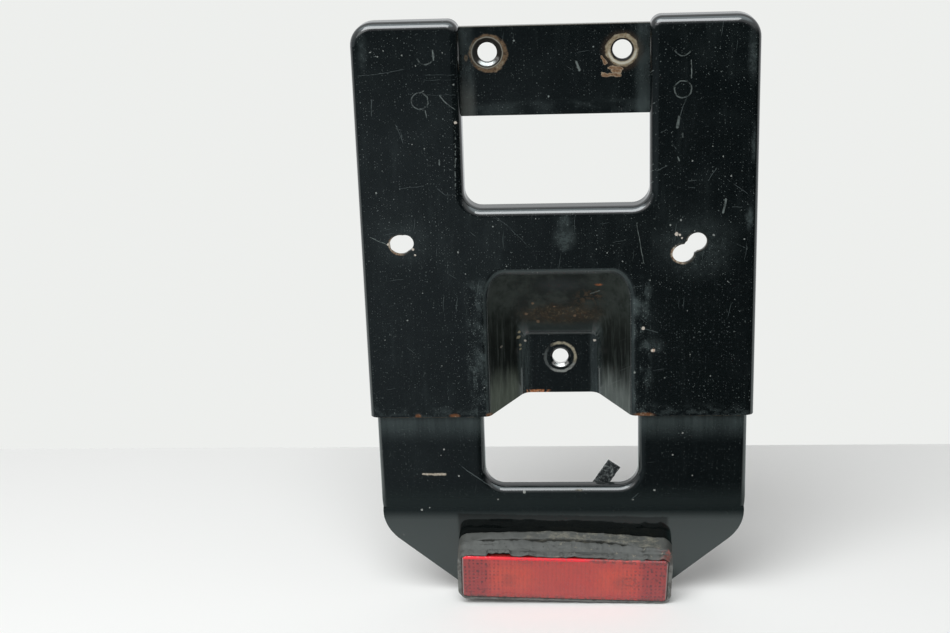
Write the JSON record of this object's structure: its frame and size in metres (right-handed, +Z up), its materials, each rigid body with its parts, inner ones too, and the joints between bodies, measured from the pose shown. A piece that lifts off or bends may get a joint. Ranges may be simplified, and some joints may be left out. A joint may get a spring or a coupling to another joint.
{
  "type": "motorcycle number plate holder",
  "caption": "Black pressed-steel number plate bracket with a window, a drawn bolt pocket, a cross strap and a red reflector on its bent lower panel.",
  "frame": {"origin": "midway between the two bolt holes of the cross strap, on the strap's rear mounting face", "axes": "+Z up along the plate, -Y out of the face that carries the number plate, +X to the right seen from the front"},
  "size_m": [0.18, 0.0332, 0.2844],
  "materials": {
    "upper_paint": "gloss",
    "strap_paint": "gloss",
    "lower_paint": "gloss",
    "red_lens": "gloss",
    "surround_rubber": "matt",
    "pad_rubber": "matt",
    "base_plastic": "matt",
    "clip_sleeve": "gloss",
    "stud_zinc": "satin",
    "washer_zinc": "satin",
    "spring_zinc": "satin",
    "nut_zinc": "satin"
  },
  "bodies": {
    "root": {"upper_plate": "upper_paint", "cross_strap": "strap_paint", "lower_plate": "lower_paint", "reflector_lens": "red_lens", "reflector_surround": "surround_rubber", "reflector_pad": "pad_rubber", "reflector_base": "base_plastic", "wire_clip": "clip_sleeve", "reflector_stud_left": "stud_zinc", "flat_washer_left": "washer_zinc", "spring_washer_left": "spring_zinc", "reflector_nut_left": "nut_zinc", "reflector_stud_right": "stud_zinc", "flat_washer_right": "washer_zinc", "spring_washer_right": "spring_zinc", "reflector_nut_right": "nut_zinc"}
  },
  "joints": []
}
